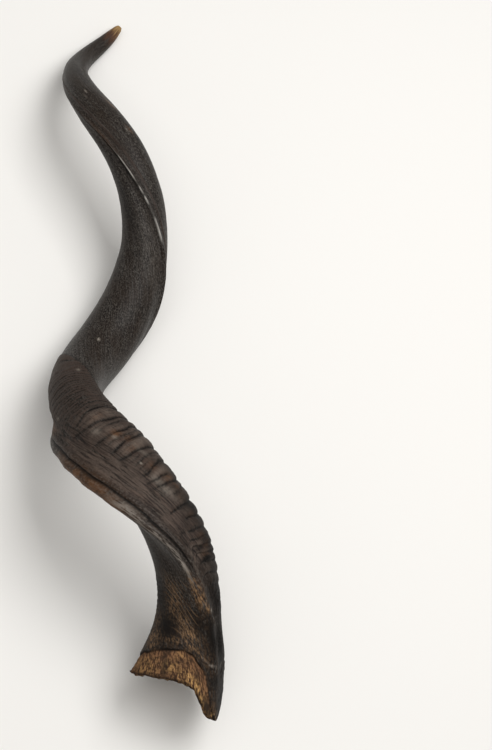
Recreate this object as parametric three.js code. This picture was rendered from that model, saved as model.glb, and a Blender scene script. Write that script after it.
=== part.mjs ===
// A greater kudu's right horn: the hollow sheath of keratin that slips off the bony core, lying on its side.
// It is a left-handed corkscrew of nearly two turns that tightens towards the tip. A keel runs along the
// outside of the coil, bark-like ribs cross the lower turn, the upper turn is smooth, and the open base
// flares to a thin, oblique rim. The inside is an open cone for two thirds of the way up; from there to the
// tip the horn is solid.
//
// Millimetres. The horn is shaped on its coil axis, +Y towards the tip, then turned to lie still: +Z is up,
// and the origin is on the ground under the middle of its bounding box.
import * as THREE from "three";

// ---- driving dimensions ----

// The spine of the horn, from the rim to the tip: rise along the coil axis, turn round it in degrees, and
// radius from the coil axis to the middle of the horn.
const coil = [
  { rise: 0, turn: -60, radius: 76 },
  { rise: 70, turn: -25, radius: 66 },
  { rise: 135, turn: 16, radius: 63 },
  { rise: 270, turn: 103, radius: 66 },
  { rise: 405, turn: 192, radius: 58 },
  { rise: 540, turn: 293, radius: 41 },
  { rise: 675, turn: 397, radius: 35 },
  { rise: 810, turn: 508, radius: 42 },
  { rise: 885, turn: 569, radius: 49 },
  { rise: 963, turn: 649, radius: 54.5 },
];

// The cross-section along the horn: deep through the keel, wide across it, keel how far the crest stands out
// of the oval, crest half of its breadth, keelAt where it sits, in degrees round from the outermost side of
// the coil, and furrow which side of the keel is hollowed out, 1 for the side nearer the tip and -1 for the
// other.
const sections = [
  { rise: -24, deep: 136, wide: 132, keel: 1, crest: 14, keelAt: -84, furrow: 0 },
  { rise: 0, deep: 125, wide: 123, keel: 2, crest: 14, keelAt: -80, furrow: 0.3 },
  { rise: 40, deep: 103, wide: 104, keel: 4, crest: 12, keelAt: -73, furrow: 0.6 },
  { rise: 80, deep: 83, wide: 84, keel: 7, crest: 9, keelAt: -68, furrow: 1 },
  { rise: 135, deep: 76, wide: 75, keel: 11, crest: 8, keelAt: -66, furrow: 1 },
  { rise: 200, deep: 74, wide: 73, keel: 24, crest: 8, keelAt: -69, furrow: 1 },
  { rise: 260, deep: 74, wide: 73, keel: 26, crest: 8, keelAt: -68, furrow: 1 },
  { rise: 330, deep: 76, wide: 75, keel: 21, crest: 8, keelAt: -66, furrow: 1 },
  { rise: 405, deep: 79, wide: 78, keel: 9, crest: 8, keelAt: -66, furrow: 0.5 },
  { rise: 470, deep: 78, wide: 77, keel: 4, crest: 7, keelAt: -66, furrow: 0 },
  { rise: 540, deep: 73, wide: 72, keel: 4, crest: 6, keelAt: -66, furrow: -0.6 },
  { rise: 600, deep: 64, wide: 63, keel: 5, crest: 5, keelAt: -66, furrow: -1 },
  { rise: 675, deep: 57, wide: 56, keel: 5, crest: 4, keelAt: -57, furrow: -1 },
  { rise: 765, deep: 50, wide: 49, keel: 3.5, crest: 4, keelAt: -33, furrow: -1 },
  { rise: 810, deep: 44, wide: 43, keel: 1.5, crest: 5, keelAt: -18, furrow: -0.5 },
  { rise: 860, deep: 35, wide: 35, keel: 0.5, crest: 5, keelAt: -10, furrow: 0 },
  { rise: 910, deep: 27, wide: 27, keel: 0, crest: 5, keelAt: -10, furrow: 0 },
  { rise: 943, deep: 19, wide: 19, keel: 0, crest: 5, keelAt: -10, furrow: 0 },
  { rise: 959, deep: 11, wide: 11, keel: 0, crest: 5, keelAt: -10, furrow: 0 },
  { rise: 963, deep: 5, wide: 5, keel: 0, crest: 5, keelAt: -10, furrow: 0 },
];

const rimRise = 7; // where the rim would be if it were cut square
const rimTongue = 39; // how far the rim reaches down in a tongue on the side of the keel
const rimTongueAt = -74; // degrees round from the outermost side of the coil to the middle of the tongue
const rimTongueFore = 37; // breadth of its long shoulder, in degrees
const rimTongueAft = 23; // and of its short one
const rimCorner = 12; // how far the rim reaches down in a corner on the inner side of the coil
const rimCornerAt = 86; // degrees round to that corner
const rimFades = 190; // rise over which the slant of the rim dies out up the horn
const wallAtRim = 3.5;
const wallInside = 6;
const hollowTo = 640; // rise at which the cavity for the bony core ends

const ribPitch = 12; // rise from one rib to the next
const ribsFrom = 112;
const ribCount = 25;
const ribStand = 1.7; // how far a rib stands above the groove beside it

const hollowFace = 9.5; // how deep the face towards the coil axis is hollowed where the ribs end
const hollowFaceRise = 382;
const hollowFaceHalf = 52; // half of its length, as rise
const hollowFaceAt = 246; // degrees round from the keel
const hollowFaceTurn = 1.15; // degrees that it turns round for a millimetre of rise
const hollowFaceBreadth = 38;

const columns = 26; // facets round the horn, crowded towards the keel
const ringsPerRib = 4;

const restRoll = -13.2; // degrees about the coil axis
const restPitch = -2.8; // degrees, tip up

// ---- smooth curves through the stations ----

// A cubic Hermite curve through one value of the stations.
function through(stations, key, rise) {
  const last = stations.length - 1;
  let i = 0;
  while (i < last - 1 && rise > stations[i + 1].rise) i += 1;
  const slope = (a, b) => (stations[b][key] - stations[a][key]) / (stations[b].rise - stations[a].rise);
  const here = slope(i, i + 1);
  const before = i > 0 ? slope(i - 1, i + 1) : here;
  const after = i < last - 1 ? slope(i, i + 2) : here;
  const span = stations[i + 1].rise - stations[i].rise;
  const t = (rise - stations[i].rise) / span;
  if (t < 0) return stations[i][key] + before * span * t;
  const t2 = t * t;
  const t3 = t2 * t;
  return (
    stations[i][key] * (2 * t3 - 3 * t2 + 1) +
    stations[i + 1][key] * (3 * t2 - 2 * t3) +
    span * (before * (t3 - 2 * t2 + t) + after * (t3 - t2))
  );
}

function spineAt(rise) {
  const turn = THREE.MathUtils.degToRad(through(coil, "turn", rise));
  const radius = through(coil, "radius", rise);
  return new THREE.Vector3(radius * Math.cos(turn), rise, radius * Math.sin(turn));
}

// out points away from the coil axis, square to the spine, and across is square to both.
function frameAt(rise) {
  const turn = THREE.MathUtils.degToRad(through(coil, "turn", rise));
  const along = spineAt(rise + 1).sub(spineAt(rise - 1)).normalize();
  const out = new THREE.Vector3(Math.cos(turn), 0, Math.sin(turn));
  out.addScaledVector(along, -out.dot(along)).normalize();
  return { along, out, across: along.clone().cross(out) };
}

// ---- the outside ----

// Ribs are broad rounded rolls with a narrow groove between them; they die out beside the keel.
function ribAt(rise, fromKeel) {
  const n = (rise - ribsFrom) / ribPitch;
  if (n <= 0 || n >= ribCount) return 0;
  const swell = Math.min(1, n / 3, (ribCount - n) / 9);
  const roll = Math.sqrt(Math.abs(Math.sin(Math.PI * n))) - 1;
  const round = THREE.MathUtils.euclideanModulo(fromKeel, 360);
  const { smoothstep } = THREE.MathUtils;
  return ribStand * swell * roll * smoothstep(round, 30, 75) * (1 - smoothstep(round, 150, 230));
}

// The crest of the keel, round on the lower turn and sharp on the upper, with a furrow along one side of it.
function keelShape(rise, arc) {
  const crest = through(sections, "crest", rise);
  const furrow = through(sections, "furrow", rise);
  const bump = (middle, half) => Math.exp(-(((arc - middle) / half) ** 2));
  const above = Math.max(0, furrow) * bump(1.8 * crest, 0.7 * crest);
  const below = Math.max(0, -furrow) * bump(-2.4 * crest, 1.2 * crest);
  const broad = arc > 0 || furrow < 0 ? crest : crest * 1.4;
  return through(sections, "keel", rise) * (bump(0, broad) - 0.15 * above - 0.3 * below);
}

// Where the ribs end, the face towards the coil axis is hollowed, so that the ribbed side stands proud of it.
function hollowAt(rise, fromKeel) {
  const lengthwise = (rise - hollowFaceRise) / hollowFaceHalf;
  const middle = hollowFaceAt + hollowFaceTurn * (rise - hollowFaceRise);
  const crosswise = between(middle, fromKeel) / hollowFaceBreadth;
  return -hollowFace * Math.exp(-(lengthwise ** 2) - crosswise ** 2);
}

function outsideAt(rise, fromKeel) {
  const deep = through(sections, "deep", rise) / 2;
  const wide = through(sections, "wide", rise) / 2;
  const a = THREE.MathUtils.degToRad(fromKeel);
  const oval = (deep * wide) / Math.hypot(wide * Math.cos(a), deep * Math.sin(a));
  const radius = oval + keelShape(rise, a * oval) + ribAt(rise, fromKeel) + hollowAt(rise, fromKeel);
  return placed(rise, fromKeel, radius);
}

// How far round one angle is from another, in degrees either way.
function between(from, to) {
  return THREE.MathUtils.euclideanModulo(to - from + 180, 360) - 180;
}

// A point at a radius from the spine. Near the base the rings lean with the rim instead of lying square.
function placed(rise, fromKeel, radius) {
  const round = fromKeel + through(sections, "keelAt", rise);
  const theta = THREE.MathUtils.degToRad(round);
  const lean = Math.max(0, 1 - (rise - rimRise) / rimFades) ** 2;
  const away = between(rimTongueAt, round);
  const tongue = rimTongue * Math.exp(-((away / (away < 0 ? rimTongueFore : rimTongueAft)) ** 2));
  const corner = rimCorner * Math.cos(THREE.MathUtils.degToRad(round - rimCornerAt));
  const { along, out, across } = frameAt(rise);
  return spineAt(rise)
    .addScaledVector(out, radius * Math.cos(theta))
    .addScaledVector(across, radius * Math.sin(theta))
    .addScaledVector(along, -lean * (tongue + corner));
}

// ---- the cavity for the bony core ----

function insideAt(rise, fromKeel) {
  const t = (rise - rimRise) / (hollowTo - rimRise);
  const wall = THREE.MathUtils.lerp(wallAtRim, wallInside, Math.min(1, t * 3));
  const full = through(sections, "wide", rise) / 2 - wall;
  return placed(rise, fromKeel, full * Math.sqrt(1 - t ** 2));
}

// ---- one closed skin: up the outside to the tip, and down the inside to the end of the cavity ----

const outer = [rimRise, 12, 19, 28, 38, 50, 63, 77, 90, 102];
for (let n = 0; n <= ribCount * ringsPerRib; n += 1) outer.push(ribsFrom + (n * ribPitch) / ringsPerRib);
for (let rise = 428; rise < 860; rise += 14.5) outer.push(rise);
outer.push(868, 882, 896, 910, 922, 933, 943, 952, 959, 962);
const inner = [rimRise, 14, 25, 40];
for (let rise = 62; rise < 600; rise += 27) inner.push(rise);
inner.push(614, 632);

const spread = [];
for (let i = 0; i < columns; i += 1) {
  const t = (2 * i) / columns - 1;
  spread.push(Math.sign(t) * 180 * Math.abs(t) ** 1.6);
}

const points = [];
const rings = [];
for (const rise of [...inner].reverse()) rings.push(spread.map((a) => points.push(insideAt(rise, a)) - 1));
for (const rise of outer) rings.push(spread.map((a) => points.push(outsideAt(rise, a)) - 1));
const cavityEnd = points.push(spineAt(hollowTo)) - 1;
const tip = points.push(spineAt(963.5)) - 1;

const faces = [];
for (let i = 0; i < columns; i += 1) {
  const j = (i + 1) % columns;
  faces.push(cavityEnd, rings[0][j], rings[0][i]);
  for (let k = 1; k < rings.length; k += 1) {
    faces.push(rings[k - 1][i], rings[k][j], rings[k][i]);
    faces.push(rings[k - 1][i], rings[k - 1][j], rings[k][j]);
  }
  faces.push(rings.at(-1)[i], rings.at(-1)[j], tip);
}

const shape = new THREE.BufferGeometry().setFromPoints(points);
shape.setIndex(faces);
shape.rotateY(THREE.MathUtils.degToRad(restRoll));
shape.rotateX(THREE.MathUtils.degToRad(restPitch));
shape.computeBoundingBox();
const { min, max } = shape.boundingBox;
shape.translate(-(min.x + max.x) / 2, -(min.y + max.y) / 2, -min.z);
shape.computeVertexNormals();

const keratin = new THREE.MeshStandardMaterial({ color: 0x3a3330, roughness: 0.5, metalness: 0 });
const horn = new THREE.Mesh(shape, keratin);
horn.name = "horn_sheath";

const group = new THREE.Group();
group.add(horn);
export default group;
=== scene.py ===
import math
from functools import partial

import bpy
import numpy as np
from mathutils import Matrix, Vector


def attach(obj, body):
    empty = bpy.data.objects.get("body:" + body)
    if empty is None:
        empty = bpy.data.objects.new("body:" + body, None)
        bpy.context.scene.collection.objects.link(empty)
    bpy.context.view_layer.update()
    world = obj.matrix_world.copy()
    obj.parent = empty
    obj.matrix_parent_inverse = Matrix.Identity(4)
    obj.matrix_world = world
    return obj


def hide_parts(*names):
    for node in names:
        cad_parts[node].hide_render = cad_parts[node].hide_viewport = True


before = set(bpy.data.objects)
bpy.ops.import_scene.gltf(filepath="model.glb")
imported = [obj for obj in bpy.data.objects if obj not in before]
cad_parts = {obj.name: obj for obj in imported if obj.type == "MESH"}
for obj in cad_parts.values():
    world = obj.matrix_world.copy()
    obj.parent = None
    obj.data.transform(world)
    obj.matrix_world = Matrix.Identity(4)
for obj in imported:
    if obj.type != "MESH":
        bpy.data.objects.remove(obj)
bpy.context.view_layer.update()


# The horn's own lines in millimetres, as in the solid: rise runs along the coil axis from the rim to the tip.
coilRows = [  # rise, turn round the coil axis in degrees, radius of the coil
    (0, -60, 76), (70, -25, 66), (135, 16, 63), (270, 103, 66), (405, 192, 58),
    (540, 293, 41), (675, 397, 35), (810, 508, 42), (885, 569, 49), (963, 649, 54.5),
]
sectionRows = [  # rise, deep, wide, keel, crest, keelAt, furrow
    (-24, 136, 132, 1, 14, -84, 0), (0, 125, 123, 2, 14, -80, 0.3), (40, 103, 104, 4, 12, -73, 0.6),
    (80, 83, 84, 7, 9, -68, 1), (135, 76, 75, 11, 8, -66, 1), (200, 74, 73, 24, 8, -69, 1),
    (260, 74, 73, 26, 8, -68, 1), (330, 76, 75, 21, 8, -66, 1), (405, 79, 78, 9, 8, -66, 0.5),
    (470, 78, 77, 4, 7, -66, 0), (540, 73, 72, 4, 6, -66, -0.6), (600, 64, 63, 5, 5, -66, -1),
    (675, 57, 56, 5, 4, -57, -1), (765, 50, 49, 3.5, 4, -33, -1), (810, 44, 43, 1.5, 5, -18, -0.5),
    (860, 35, 35, 0.5, 5, -10, 0), (910, 27, 27, 0, 5, -10, 0), (943, 19, 19, 0, 5, -10, 0),
    (959, 11, 11, 0, 5, -10, 0), (963, 5, 5, 0, 5, -10, 0),
]
coil = dict(zip(("rise", "turn", "radius"), np.array(coilRows, float).T))
sectionNames = ("rise", "deep", "wide", "keel", "crest", "keelAt", "furrow")
sections = dict(zip(sectionNames, np.array(sectionRows, float).T))

sheath = {
    "rimRise": 7, "rimTongue": 39, "rimTongueAt": -74, "rimTongueFore": 37, "rimTongueAft": 31,
    "rimBluntFore": 2.6, "rimBluntAft": 3.0,   # the solid's tongue is more pointed
    "rimCorner": 12, "rimCornerAt": 86, "rimFades": 190,
    "faceHollow": 9.5, "faceRise": 382, "faceHalf": 52, "faceAt": 246, "faceTurn": 1.15, "faceBreadth": 38,
    "wallAtRim": 3.5, "wallInside": 6, "wallGrows": 3, "hollowTo": 640,   # full after a third of the cavity
    "tipRise": 963, "tipPoint": 962.6, "tipSmooth": (900, 955),   # the relief dies out before the tip
    "restRoll": -13.2, "restPitch": -2.8, "restShift": (-7.252, -455.927, 109.2),
    "skinIn": 0.6,             # the smooth skin bulges past the solid's facets, so it starts a little inside
    "columns": 168, "columnCrowding": 1.4,     # above 1 the columns crowd towards the keel
    "ringStretches": [(7, 105, 68), (105, 440, 326), (440, 900, 112)],   # from, to, rings: closest on the ribs
    "tipFrom": 900, "tipLong": 62, "tipRings": 34, "tipCrowding": 1.6,
    "innerLip": (7, 8.5, 11, 15, 21, 30), "innerStretches": [(42, 240, 14), (240, 620, 38)],   # from, to, step
    "innerEnd": (624, 634, 638.5), "innerFades": (200, 400),
    "lipSunk": 0.2, "lipDirt": 0.3, "innerRagged": 0.9,
}
evenRadius = 38          # millimetres: patterns lie on an even tube of this radius
mmPerDegree = 0.66       # round that tube


def through(stations, key, rise):
    # smooth curve through one column of the stations, for any number of rises at once
    at, value = stations["rise"], stations[key]
    rise = np.asarray(rise, float)
    last = len(at) - 1
    i = np.clip(np.searchsorted(at, rise, side="left") - 1, 0, last - 1)
    low, high = np.maximum(i - 1, 0), np.minimum(i + 2, last)
    span = at[i + 1] - at[i]
    before = (value[i + 1] - value[low]) / (at[i + 1] - at[low])
    after = (value[high] - value[i]) / (at[high] - at[i])
    t = (rise - at[i]) / span
    t2, t3 = t * t, t * t * t
    inner = (value[i] * (2 * t3 - 3 * t2 + 1) + value[i + 1] * (3 * t2 - 2 * t3)
             + span * (before * (t3 - 2 * t2 + t) + after * (t3 - t2)))
    return np.where(t < 0, value[i] + before * span * t, inner)


def spineAt(rise):
    rise = np.asarray(rise, float)
    turn, radius = np.radians(through(coil, "turn", rise)), through(coil, "radius", rise)
    return np.stack([radius * np.cos(turn), rise, radius * np.sin(turn)], -1)


def frameAt(rise):
    # along the spine, straight out from the coil axis, and across both
    turn = np.radians(through(coil, "turn", rise))
    along = spineAt(rise + 1) - spineAt(rise - 1)
    along /= np.linalg.norm(along, axis=-1, keepdims=True)
    out = np.stack([np.cos(turn), np.zeros_like(turn), np.sin(turn)], -1)
    out -= along * (out * along).sum(-1, keepdims=True)
    out /= np.linalg.norm(out, axis=-1, keepdims=True)
    return along, out, np.cross(along, out)


def ramp(value, low, high):
    # rises softly from 0 at low to 1 at high
    t = np.clip((value - low) / (high - low), 0, 1)
    return t * t * (3 - 2 * t)


def within(value, span):
    # 1 inside a span and 0 outside: the span gives where it starts, is full, fades and is gone
    start, full, fading, gone = span
    return ramp(value, start, full) * (1 - ramp(value, fading, gone))


def hill(value, middle, half):
    return np.exp(-(((value - middle) / half) ** 2))


def wrapped(degrees):
    return (degrees + 180) % 360 - 180


def latticeNoise(x, y, z, seed):
    # soft random values from -1 to 1, the same on every run
    cell = [np.floor(v).astype(np.int64) for v in (x, y, z)]
    ease = []
    for v, c in zip((x, y, z), cell):
        p = v - c
        ease.append(p * p * p * (p * (p * 6 - 15) + 10))
    total = 0
    for i in (0, 1):
        for j in (0, 1):
            for k in (0, 1):
                mixed = (cell[0] + i) * 73856093 ^ (cell[1] + j) * 19349663 ^ (cell[2] + k) * 83492791
                mixed = ((mixed ^ seed * 7919) & 0x7FFFFFFF) * 1274126177
                value = ((mixed ^ (mixed >> 15)) >> 7 & 0xFFFF) / 32767.5 - 1
                share = (ease[0] if i else 1 - ease[0]) * (ease[1] if j else 1 - ease[1])
                total = total + value * share * (ease[2] if k else 1 - ease[2])
    return total


# Everything uneven on the horn: breadth and length in millimetres, height, seed. What comes and goes in
# patches also has the middle, the lowest and the highest share of it that shows.
noises = {
    "creaseWander": (40, 26, 0.5, 5), "keelWaves": (40, 16, 0.04, 3), "keelChips": (30, 5, 0.014, 4),
    "flakes": (1.8, 9, 1, 6), "flakesBroad": (3.4, 14, 0.6, 7),
    "grooveWander": (16, 30, 1.4, 11), "grooveWaver": (6, 12, 0.35, 12),
    "groovePatches": (13, 60, 0.5, 34, 0.85, 0.3, 1.15),
    "lineWander": (14, 26, 2.6, 35), "lineBreaks": (11, 9, 1, 36),
    "foldWander": (20, 20, 0.7, 14), "foldDepth": (16, 18, 0.5, 15),
    "threads": (2.6, 26, 1, 37), "threadDepth": (9, 22, 0.5, 38),
    "cracks": (2.6, 18, 1, 16),   # real cracks are about 2 mm apart, drawn coarser so that they show
    "crackBreaks": (9, 14, 1, 17), "crossCracks": (7, 5.5, 1, 18), "crossBreaks": (12, 18, 1, 19),
    "growthWander": (22, 12, 1.1, 20), "growthPatches": (14, 10, 0.9, 21, 0.5, 0, 1.2),
    "rimLineWander": (7, 12, 1.5, 52), "stepPatches": (8, 30, 0.8, 53, 1, 0.4, 1),
    "palePatches": (6, 30, 0.8, 54, 0.5, 0.1, 1), "paintedHighlightPatches": (20, 6, 1.3, 55, 0.65, 0.1, 1),
    "crestPatches": (12, 8, 0.7, 56, 0.6, 0, 1), "besidePatches": (7, 30, 0.9, 57, 0.6, 0.1, 1),
    "arcPatches": (9, 16, 0.9, 58, 0.5, 0, 1),
    "skinRolls": (14, 6, 0.45, 13), "slowSwell": (26, 40, 0.5, 22), "swell": (7, 22, 0.16, 23),
    "pores": (2.2, 2.2, 0.12, 25),   # real pores are 0.3 to 1 mm
    "rimScrapes": (3.0, 9, 0.5, 24), "rimChips": (5, 3.5, 0.4, 26), "rimDirt": (5, 9, 2.5, 27),
    "raggedBroad": (9, 10, 0.5, 31), "raggedFine": (3.0, 10, 0.5, 32), "lipRough": (2.2, 9, 0.9, 33),
    "innerFibres": (3, 30, 0.4, 41),
}


def noise(name, rise, fromKeel):
    # closes on itself round the horn
    breadth, length, height, seed = noises[name][:4]
    a, r = np.radians(fromKeel), evenRadius / breadth
    return height * latticeNoise(r * np.cos(a) + 50, r * np.sin(a) + 50, rise / length + 50, seed)


def patchy(name, rise, fromKeel):
    middle, lowest, highest = noises[name][4:]
    return np.clip(middle + noise(name, rise, fromKeel), lowest, highest)


def marks(rows, rise, fromKeel):
    total = 0
    for at, degrees, halfLong, halfBroad, strength in rows:
        gap = wrapped(fromKeel - degrees) * mmPerDegree
        total = np.maximum(total, strength * np.exp(-((rise - at) / halfLong) ** 2 - (gap / halfBroad) ** 2))
    return total


def placed(rise, fromKeel, radius, slide=0):
    # points at a radius from the spine; near the base the rings lean with the rim
    k = sheath
    bend = fromKeel + through(sections, "keelAt", rise)
    theta = np.radians(bend)
    lean = np.maximum(0, 1 - (rise - k["rimRise"]) / k["rimFades"]) ** 2
    away = wrapped(bend - k["rimTongueAt"])
    tongueHalf = np.where(away < 0, k["rimTongueFore"], k["rimTongueAft"])
    blunt = np.where(away < 0, k["rimBluntFore"], k["rimBluntAft"])
    tongue = k["rimTongue"] * np.exp(-(np.abs(away / tongueHalf) ** blunt))
    corner = k["rimCorner"] * np.cos(np.radians(bend - k["rimCornerAt"]))
    along, out, across = frameAt(rise)
    steps = (radius * np.cos(theta), radius * np.sin(theta), slide - lean * (tongue + corner))
    return spineAt(rise) + sum(way * step[..., None] for way, step in zip((out, across, along), steps))


# Grooves between the ribs: rise, first and last degree round from the keel, depth, and how far the end by the
# keel is ahead of the middle.
grooves = [
    (112, 20, 110, 1.1, 1), (123, 10, 130, 1.9, 3), (134, 8, 150, 2.4, 3.5), (142.5, 8, 172, 3.0, 4),
    (150.5, 8, 176, 3.0, 3), (158, 26, 176, 1.5, 2), (165.5, 36, 176, 2.5, 2.5), (177, 50, 176, 1.8, 2),
    (189, 34, 176, 2.3, 0), (201, 66, 176, 1.2, -2), (207, 52, 90, 0.6, 1), (213, 42, 176, 2.3, 3),
    (220, 42, 100, 2.2, 2), (229, 50, 176, 1.9, -2), (240, 62, 176, 1.0, 0), (244.5, 54, 84, 0.6, 2),
    (250, 44, 176, 1.8, 3), (256, 50, 92, 0.6, 1), (261, 46, 176, 2.2, -1), (268, 60, 150, 1.0, 1),
    (275, 40, 176, 2.6, 2), (283, 70, 170, 1.0, 0), (288.5, 46, 96, 0.8, 3), (294, 36, 174, 2.0, 6),
    (300, 42, 92, 0.9, 4), (305, 52, 176, 1.9, -2), (312, 60, 150, 0.8, 2), (318, 50, 174, 0.8, 2),
    (323.5, 46, 104, 0.8, 4), (329, 44, 150, 0.7, 4), (335, 46, 100, 0.9, 5), (341, 46, 130, 0.9, 5),
    (348, 50, 110, 0.8, 4), (355, 50, 140, 0.7, 2), (367, 56, 120, 0.5, 2),
]
ribs = {
    "archEnd": [(340, 177), (361, 175), (373, 171), (383, 166), (392, 158), (402, 149), (411, 137), (420, 120),
                (428, 95), (434, 60), (438, 20)],   # where the ribbed skin stops: rise, degrees from the keel
    "archEdge": (-0.6, 1.4), "archStep": 1.3, "archDirt": 0.8, "archDirtRise": (250, 345, 426, 436),
    "archDirtMm": (-1.0, 1.2), "skinRound": (8, 24), "skinRise": (105, 160),
    "grooveHalf": 1.0, "grooveShare": 0.62, "rollHalf": 3.2, "rollShare": 0.85, "rollBack": 1.2,
    "grooveEnds": (-5, 9, -4, 6), "aheadRound": 70, "aheadOver": 40, "grooveDirt": 0.85, "dirtyFrom": 1.8,
    "hookDown": 14, "hookRise": (112, 150), "hookTo": 160, "hookRound": (30, 7),   # low ones turn down
    "lowLoss": 0.45, "lowRound": (56, 84), "lowRise": (160, 175),   # and are shallower outside
    "nearHalf": 3.2, "nearBack": 0.6, "nearFrom": 1.4,
    "linePitch": 4.3, "lineDeep": 0.4, "lineHalf": 0.14, "lineShows": (-0.35, 0.25), "lineDirt": 0.35,
    "lineRise": (112, 140, 300, 330), "lineRound": (40, 62),   # faint lines on the ribs themselves
}
folds = {   # the real folds are nearer 2.5 mm apart, drawn coarser so that they show
    "pitch": 3.4, "deep": 0.34, "mean": 1.1, "dirt": 0.5, "rise": (290, 325), "round": (14, 40),
    "bend": 0.8, "bendFrom": 176,
    # threads along the horn, the edges of old keratin layers
    "threadDeep": 0.3, "threadHalf": 0.2, "threadMean": 0.6, "threadDirt": 0.22, "threadRise": (300, 360),
    "foldsHide": 0.8, "ribsHide": 0.7, "ribsRound": (46, 70),
}
cracks = {
    "deep": 0.55, "half": 0.2, "shows": (-0.5, 0.2), "dirt": 0.42,
    "crossShare": 0.45, "crossHalf": 0.13, "crossShows": (-0.1, 0.4),
    "round": (8, 13, 46, 68), "rise": (112, 150, 330, 380),
}
growth = {
    "pitch": 6.5, "deep": 0.42, "second": 0.6, "secondRate": 2.35, "secondShift": 1.0,
    "dirt": 0.4, "dirtyFrom": (0.5, 1.4),
    "ends": (108, 150), "outerLoss": 0.6, "outerRound": (60, 90, 130, 200),
    "down": 52, "downAt": -10, "downHalf": 36, "downRise": (34, 84),
}
rim = {
    "stepUp": 0.9, "stepSpan": (-1.5, 1.5, 1.5, 26), "stepCut": 0.8, "cutAt": -0.6, "cutHalf": 1.2,
    "stepRound": (0, 8), "stepDirtAt": 0.3, "stepDirtHalf": 1.7,
    "roughRise": (9, 60), "edgeMm": 3, "edgeDirt": 0.75, "edgeDirtMm": (-1.5, 6),
    "worn": [(10, -2, 7, 8, 0.95)],   # the dark edge is worn off at the end of the tongue
    "ragged": 6.5, "raggedFades": 5, "layers": 4, "layerEdge": (0.35, 0.65),
    "layerShare": 0.55, "fineShare": 0.45,
}
# where the skin swells beyond the plain sweep: rise, degrees from the keel, half length, half breadth, height
swells = [
    (143, 95, 34, 36, 3.2), (712, 88, 60, 26, 2.4), (232, -4, 62, 10, 3.2), (290, 110, 16, 20, 1.0),
    (147, 46, 2.4, 17, 1.2), (155, 40, 2.2, 14, 0.9), (128, 44, 2.4, 14, 0.8), (10, 12, 13, 12, 3.2),
    (338, 5, 16, 7, 2.2), (268, 152, 22, 20, 3.2), (660, 82, 36, 22, 1.5),
]
# half breadths of the keel are shares of its crest's own half breadth
keelLook = {
    "foreBroad": 1.4, "sharpRise": (500, 600, 780, 830), "sharpFore": 0.55, "sharpAft": 0.85,
    "barBroad": 1.15, "barSquare": 2.4, "slopeBroad": 1.3, "slopeSquare": 1.2,
    "creaseRise": (112, 152, 332, 372), "creaseHalf": 0.7, "creaseDeep": 2.7, "creaseEdge": 0.6,
    "creaseAt": [(110, 2.6), (150, 3.8), (200, 5.6), (345, 6.4)],   # rise, millimetres from the keel's top
    "overlap": 0.13, "overlapBack": 4.0, "overlapHalf": 4.5,   # the skin behind the crease swells over it
    "unchipped": 0.946,
    "furrowBack": 1.8, "furrowBroad": 0.7, "furrowDeep": 0.15,
    "hollowFore": 2.4, "hollowBroad": 1.2, "hollowDeep": 0.3,
    "beadHigh": 1.2, "beadHalf": 1.1, "beadFore": 1.0,   # the thin bead on the upper turn's keel
    "gutterRise": (640, 690, 775, 815), "gutterDeep": 1.1, "gutterFore": 4.0, "gutterHalf": 1.5,   # beside it
    "flakeRise": (84, 108, 236, 262), "flakeHalf": 5, "flakeDeep": 0.24,   # old keratin flaking off
    # the gutter beside the bead is darkened as painted shade, the crease by dirt
    "creaseDirt": 1.15, "gutterShade": 0.75,
}


def growthRise(rise, fromKeel):
    # growth lines follow the rim, and above it they run down along the near side of the keel
    downward = hill(fromKeel, growth["downAt"], growth["downHalf"]) * ramp(rise, *growth["downRise"])
    return rise + growth["down"] * downward


def archReach(rise):
    rows = np.array(ribs["archEnd"], float)
    return np.interp(rise, rows[:, 0], rows[:, 1])


def ribbedSkin(rise, round360):
    # 1 on the ribbed skin, 0 on the smooth skin, with a crisp edge along the far side and the top
    edge = ramp((archReach(rise) - round360) * mmPerDegree, *ribs["archEdge"])
    return edge * ramp(round360, *ribs["skinRound"])


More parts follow.
